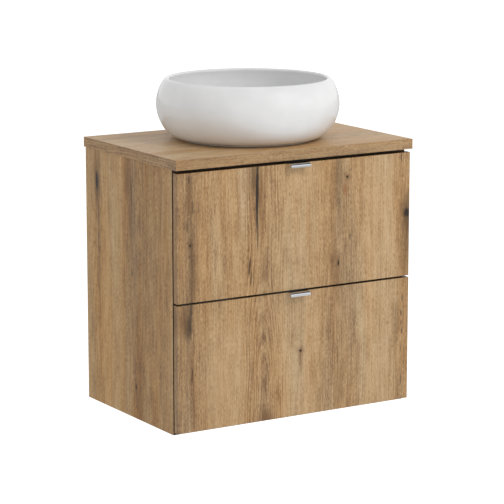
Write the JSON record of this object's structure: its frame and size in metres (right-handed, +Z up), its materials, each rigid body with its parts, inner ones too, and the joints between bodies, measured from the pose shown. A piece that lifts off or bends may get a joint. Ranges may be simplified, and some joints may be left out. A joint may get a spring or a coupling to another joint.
{
  "type": "wall-hung vanity with vessel basin",
  "caption": "Wall-hung bathroom vanity with sliding drawers, oak-decor worktop and a round white vessel basin with waste and trap.",
  "frame": {"origin": "on the wall plane, midway between the wall plates' screw holes", "axes": "+X right as seen from the front, +Y into the wall, +Z up; the drawers open towards -Y"},
  "size_m": [0.6, 0.464, 0.728],
  "materials": {
    "oak_decor": "matt oak-decor laminate with upright grain and a light pore texture",
    "grey_laminate": "plain grey laminate",
    "chrome": "bright polished",
    "zinc_steel": "bright zinc plated",
    "glazed_ceramic": "white gloss glaze",
    "silicone": "translucent sanitary silicone",
    "rubber": "black moulded",
    "brass": "plain machined",
    "white_plastic": "white moulded",
    "grey_plastic": "grey moulded"
  },
  "bodies": {
    "cabinet": {"countertop": "oak_decor", "side_panel_left": "oak_decor", "side_panel_right": "oak_decor", "bottom_panel": "oak_decor", "top_front_rail": "oak_decor", "rear_rail_top": "oak_decor", "rear_rail_bottom": "oak_decor", "cam_locks": "zinc_steel", "cam_bolts": "zinc_steel", "counter_brackets": "zinc_steel", "counter_screws": "zinc_steel", "hangers": "zinc_steel", "hanger_screws": "zinc_steel", "wall_plates": "zinc_steel", "basin": "glazed_ceramic", "basin_seal": "silicone", "waste_body": "chrome", "waste_cartridge": "white_plastic", "waste_top_gasket": "rubber", "waste_lower_gasket": "rubber", "waste_nut": "brass", "trap_coupling_nut": "white_plastic", "trap_inlet_tube": "white_plastic", "trap_body": "white_plastic", "trap_cup": "white_plastic", "trap_nuts": "white_plastic", "outlet_pipe": "chrome", "wall_rosette": "chrome", "runner_screws": "zinc_steel", "upper_runner_outer_left": "zinc_steel", "upper_runner_outer_right": "zinc_steel", "lower_runner_outer_left": "zinc_steel", "lower_runner_outer_right": "zinc_steel"},
    "upper_runner_middles": {"upper_runner_middle_left": "zinc_steel", "upper_runner_middle_right": "zinc_steel"},
    "lower_runner_middles": {"lower_runner_middle_left": "zinc_steel", "lower_runner_middle_right": "zinc_steel"},
    "upper_drawer": {"upper_drawer_front": "oak_decor", "upper_drawer_side_left": "grey_laminate", "upper_drawer_side_right": "grey_laminate", "upper_drawer_inner_front": "grey_laminate", "upper_drawer_bottom": "grey_laminate", "upper_drawer_back_left": "grey_laminate", "upper_drawer_back_right": "grey_laminate", "upper_drawer_trap_surround": "grey_plastic", "upper_drawer_screws": "zinc_steel", "upper_drawer_pull": "chrome", "upper_runner_inner_left": "zinc_steel", "upper_runner_inner_right": "zinc_steel"},
    "lower_drawer": {"lower_drawer_front": "oak_decor", "lower_drawer_side_left": "grey_laminate", "lower_drawer_side_right": "grey_laminate", "lower_drawer_inner_front": "grey_laminate", "lower_drawer_bottom": "grey_laminate", "lower_drawer_back": "grey_laminate", "lower_drawer_screws": "zinc_steel", "lower_drawer_pull": "chrome", "lower_runner_inner_left": "zinc_steel", "lower_runner_inner_right": "zinc_steel"},
    "waste_plug_body": {"waste_plug": "chrome"}
  },
  "joints": [
    {"name": "upper_drawer_slide", "type": "slide", "parent": "cabinet", "child": "upper_drawer", "axis": [0, -1, 0], "range_m": [0, 0.35]},
    {"name": "lower_drawer_slide", "type": "slide", "parent": "cabinet", "child": "lower_drawer", "axis": [0, -1, 0], "range_m": [0, 0.35]},
    {"name": "upper_runner_slide", "type": "slide", "parent": "cabinet", "child": "upper_runner_middles", "axis": [0, -1, 0], "range_m": [0, 0.175]},
    {"name": "lower_runner_slide", "type": "slide", "parent": "cabinet", "child": "lower_runner_middles", "axis": [0, -1, 0], "range_m": [0, 0.175]},
    {"name": "waste_plug_lift", "type": "slide", "parent": "cabinet", "child": "waste_plug_body", "axis": [0, 0, 1], "range_m": [0, 0.009]}
  ],
  "couplings": [
    {"joint": "upper_runner_slide", "follows": "upper_drawer_slide", "ratio": 0.5},
    {"joint": "lower_runner_slide", "follows": "lower_drawer_slide", "ratio": 0.5}
  ]
}
